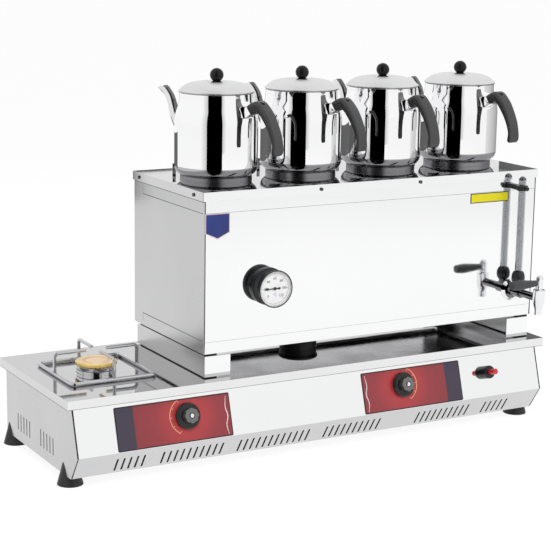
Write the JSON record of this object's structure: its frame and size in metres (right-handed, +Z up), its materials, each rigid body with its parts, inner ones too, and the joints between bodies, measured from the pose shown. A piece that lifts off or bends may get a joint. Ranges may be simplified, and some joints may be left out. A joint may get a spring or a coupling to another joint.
{
  "type": "gas-heated tea urn with teapots",
  "caption": "Gas-heated tea boiler on a low two-burner stove, with lidded teapots in steam seats on top, dial thermometer, sight glass and draw-off tap.",
  "frame": {"origin": "on the floor under the middle of the whole object's bounding box", "axes": "+X to the right seen from the front, -Y towards the front where the knobs and the tap are, +Z up"},
  "size_m": [1.115, 0.4724, 0.771],
  "materials": {
    "polished_steel": "mirror polished stainless steel",
    "steel_sheet": "plain stainless sheet",
    "printed_plate": "printed dark red, satin",
    "label_plate": "printed label, satin",
    "feet_rubber": "matt black",
    "black_knob": "matt black heat-proof plastic",
    "black_handle": "black heat-proof plastic, satin",
    "red_button": "glossy red",
    "burner_brass": "machined brass",
    "valve_brass": "machined brass",
    "burner_iron": "cast aluminium",
    "support_wire": "bright steel rod",
    "ceramic_white": "white glazed ceramic",
    "lead_cable": "silicone sleeve",
    "gasket_rubber": "black silicone strip",
    "mineral_wool": "mineral wool board",
    "chrome_trim": "bright chrome",
    "dial_white": "white printed dial",
    "dial_glass": "clear flat glass",
    "pointer_black": "matt black",
    "tube_glass": "clear glass tube"
  },
  "bodies": {
    "urn": {"stove_tray": "polished_steel", "stove_front_panel": "polished_steel", "stove_side_panels": "polished_steel", "stove_back_panel": "steel_sheet", "stove_base_plate": "steel_sheet", "stove_feet": "feet_rubber", "control_plates": "printed_plate", "gas_manifold": "steel_sheet", "gas_valve_bodies": "valve_brass", "burner_feed_pipes": "steel_sheet", "burner_bodies": "burner_iron", "burner_cap_right": "burner_brass", "spark_electrodes": "ceramic_white", "ignition_leads": "lead_cable", "igniter_body": "black_knob", "stand_sides": "polished_steel", "stand_gaskets": "gasket_rubber", "boiler_front_panel": "polished_steel", "boiler_back_panel": "steel_sheet", "boiler_side_panels": "polished_steel", "boiler_top_cover": "polished_steel", "boiler_tank": "steel_sheet", "boiler_insulation": "mineral_wool", "cover_screws": "chrome_trim", "front_plates": "label_plate", "pot_seat_rings": "polished_steel", "pot_stops": "steel_sheet", "thermometer_case": "chrome_trim", "thermometer_dial": "dial_white", "thermometer_glass": "dial_glass", "tap_shank": "chrome_trim", "tap_body": "chrome_trim", "sight_glass_tube": "tube_glass", "sight_glass_fittings": "chrome_trim"},
    "pan_support": {"pan_support": "support_wire"},
    "burner_cap_left": {"burner_cap_left": "burner_brass"},
    "gas_plug_left": {"valve_plug_left": "valve_brass"},
    "gas_plug_right": {"valve_plug_right": "valve_brass"},
    "gas_knob_left": {"gas_knob_left": "black_knob"},
    "gas_knob_right": {"gas_knob_right": "black_knob"},
    "igniter_button": {"igniter_button": "red_button"},
    "thermometer_pointer": {"thermometer_pointer": "pointer_black"},
    "tap_lever": {"tap_lever": "black_handle"},
    "teapot_1": {"pot_1_body": "polished_steel", "pot_1_handle": "black_handle"},
    "teapot_lid_1": {"pot_1_lid": "polished_steel", "pot_1_lid_knob": "black_handle"},
    "teapot_2": {"pot_2_body": "polished_steel", "pot_2_handle": "black_handle"},
    "teapot_lid_2": {"pot_2_lid": "polished_steel", "pot_2_lid_knob": "black_handle"},
    "teapot_3": {"pot_3_body": "polished_steel", "pot_3_handle": "black_handle"},
    "teapot_lid_3": {"pot_3_lid": "polished_steel", "pot_3_lid_knob": "black_handle"},
    "teapot_4": {"pot_4_body": "polished_steel", "pot_4_handle": "black_handle"},
    "teapot_lid_4": {"pot_4_lid": "polished_steel", "pot_4_lid_knob": "black_handle"}
  },
  "joints": [
    {"name": "pot_1_lift", "type": "slide", "parent": "urn", "child": "teapot_1", "axis": [0, 0, 1], "range_m": [0, 0.25]},
    {"name": "lid_1_lift", "type": "slide", "parent": "teapot_1", "child": "teapot_lid_1", "axis": [0, 0, 1], "range_m": [0, 0.15]},
    {"name": "pot_2_lift", "type": "slide", "parent": "urn", "child": "teapot_2", "axis": [0, 0, 1], "range_m": [0, 0.25]},
    {"name": "lid_2_lift", "type": "slide", "parent": "teapot_2", "child": "teapot_lid_2", "axis": [0, 0, 1], "range_m": [0, 0.15]},
    {"name": "pot_3_lift", "type": "slide", "parent": "urn", "child": "teapot_3", "axis": [0, 0, 1], "range_m": [0, 0.25]},
    {"name": "lid_3_lift", "type": "slide", "parent": "teapot_3", "child": "teapot_lid_3", "axis": [0, 0, 1], "range_m": [0, 0.15]},
    {"name": "pot_4_lift", "type": "slide", "parent": "urn", "child": "teapot_4", "axis": [0, 0, 1], "range_m": [0, 0.25]},
    {"name": "lid_4_lift", "type": "slide", "parent": "teapot_4", "child": "teapot_lid_4", "axis": [0, 0, 1], "range_m": [0, 0.15]},
    {"name": "gas_turn_left", "type": "hinge", "parent": "urn", "child": "gas_plug_left", "pos_m": [-0.311, -0.15125, 0.11941], "axis": [0, -0.9571, 0.2898], "range_deg": [0, 180]},
    {"name": "gas_push_left", "type": "slide", "parent": "gas_plug_left", "child": "gas_knob_left", "axis": [0, 0.9571, -0.2898], "range_m": [0, 0.003], "stiffness_N_per_m": 1200, "springref_m": -0.004},
    {"name": "gas_turn_right", "type": "hinge", "parent": "urn", "child": "gas_plug_right", "pos_m": [0.1895, -0.15125, 0.11941], "axis": [0, -0.9571, 0.2898], "range_deg": [0, 180]},
    {"name": "gas_push_right", "type": "slide", "parent": "gas_plug_right", "child": "gas_knob_right", "axis": [0, 0.9571, -0.2898], "range_m": [0, 0.003], "stiffness_N_per_m": 1200, "springref_m": -0.004},
    {"name": "igniter_push", "type": "slide", "parent": "urn", "child": "igniter_button", "axis": [0, 0.9571, -0.2898], "range_m": [0, 0.008], "stiffness_N_per_m": 500, "springref_m": -0.006},
    {"name": "tap_turn", "type": "hinge", "parent": "urn", "child": "tap_lever", "pos_m": [0.4815, -0.22325, 0.319], "axis": [0, 0, 1], "range_deg": [0, 90]},
    {"name": "temperature", "type": "hinge", "parent": "urn", "child": "thermometer_pointer", "pos_m": [-0.1205, -0.15475, 0.354], "axis": [0, 1, 0], "range_deg": [-45, 225]},
    {"name": "pan_support_lift", "type": "slide", "parent": "urn", "child": "pan_support", "axis": [0, 0, 1], "range_m": [0, 0.1]},
    {"name": "burner_cap_lift", "type": "slide", "parent": "urn", "child": "burner_cap_left", "axis": [0, 0, 1], "range_m": [0, 0.015]}
  ]
}
